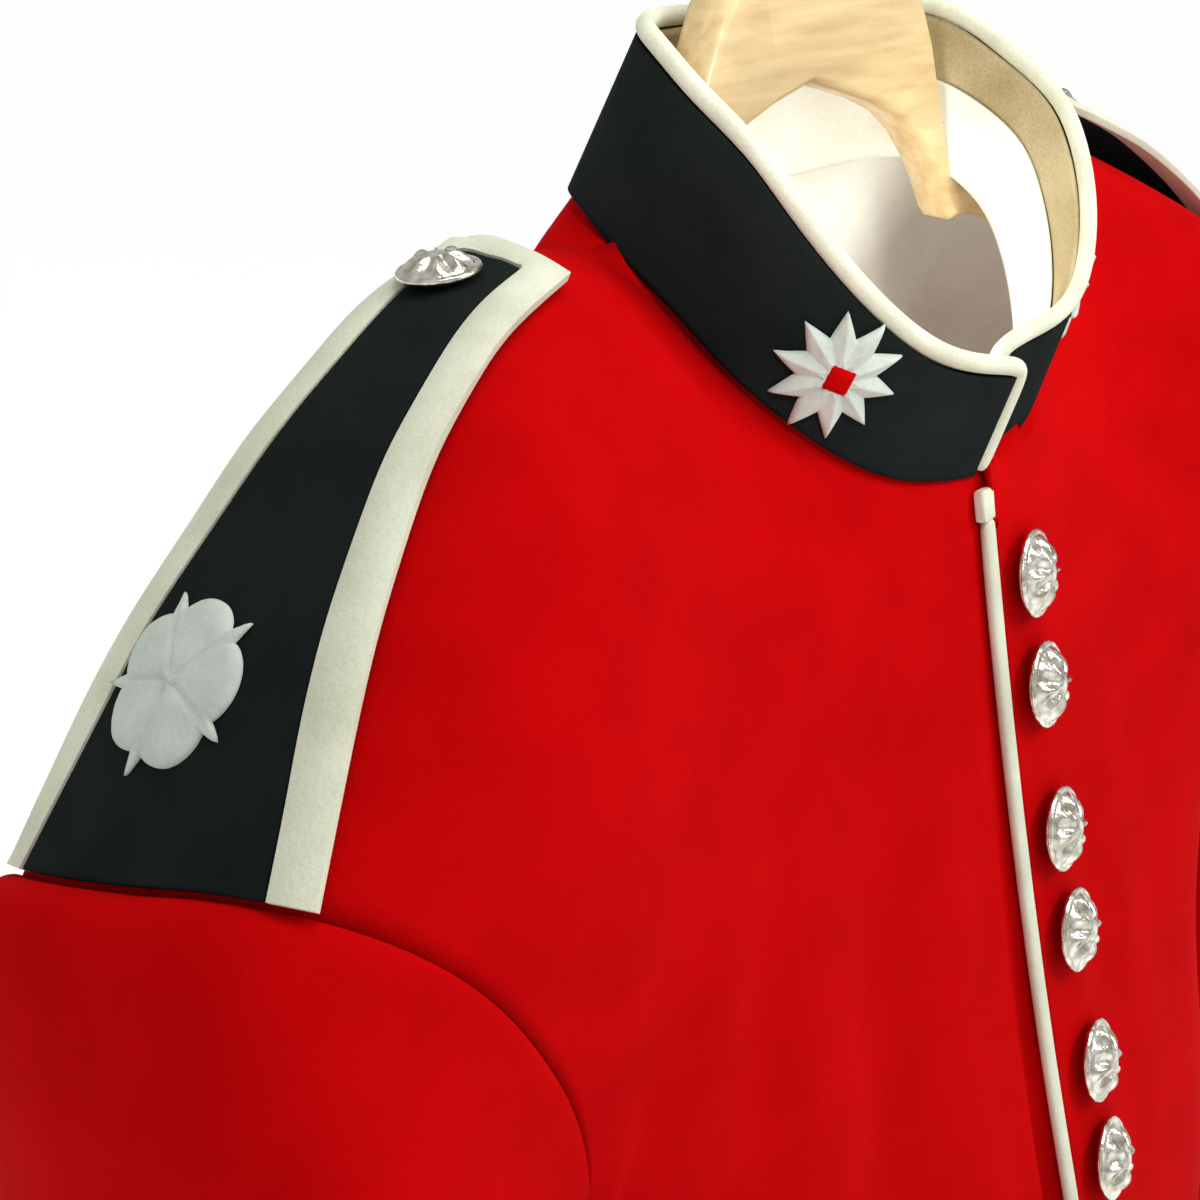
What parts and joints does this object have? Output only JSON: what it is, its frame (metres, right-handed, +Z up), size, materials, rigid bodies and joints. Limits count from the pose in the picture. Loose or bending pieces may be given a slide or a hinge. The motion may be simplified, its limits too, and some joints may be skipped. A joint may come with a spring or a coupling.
{
  "type": "foot guards tunic on wooden hanger",
  "caption": "Scarlet dress tunic with black stand collar, white piping, domed buttons and shoulder straps, hanging on a wooden hanger.",
  "frame": {"origin": "where a rail carries the hook, at the inside top of its bend", "axes": "+X to the wearer's left, -Y to the wearer's front, +Z up"},
  "size_m": [0.544, 0.2476, 0.9672],
  "materials": {
    "scarlet_wool": "milled wool cloth",
    "cream_lining": "cotton",
    "black_wool": "milled wool cloth",
    "tan_facing": "cotton",
    "white_wool": "wool piping",
    "silver": "polished",
    "badge_white": "embroidery",
    "beech": "varnished",
    "steel": "plated"
  },
  "bodies": {
    "root": {"back": "scarlet_wool", "button_01": "silver", "button_02": "silver", "button_03": "silver", "button_04": "silver", "button_05": "silver", "button_06": "silver", "button_07": "silver", "button_08": "silver", "button_09": "silver", "button_10": "silver", "collar_facing_left": "tan_facing", "collar_facing_right": "tan_facing", "collar_left": "black_wool", "collar_lining_left": "cream_lining", "collar_lining_right": "cream_lining", "collar_piping_left": "white_wool", "collar_piping_right": "white_wool", "collar_right": "black_wool", "collar_star_left": "badge_white", "collar_star_right": "badge_white", "front_left": "scarlet_wool", "front_piping": "white_wool", "front_piping_tab": "white_wool", "front_right": "scarlet_wool", "hanger": "beech", "hanger_hook": "steel", "lining_back": "cream_lining", "lining_front_left": "cream_lining", "lining_front_right": "cream_lining", "sleeve_left_top": "scarlet_wool", "sleeve_left_under": "scarlet_wool", "sleeve_right_top": "scarlet_wool", "sleeve_right_under": "scarlet_wool", "strap_button_left": "silver", "strap_button_right": "silver", "strap_edging_left": "white_wool", "strap_edging_right": "white_wool", "strap_flower_left": "badge_white", "strap_flower_right": "badge_white", "strap_left": "black_wool", "strap_right": "black_wool"}
  },
  "joints": []
}
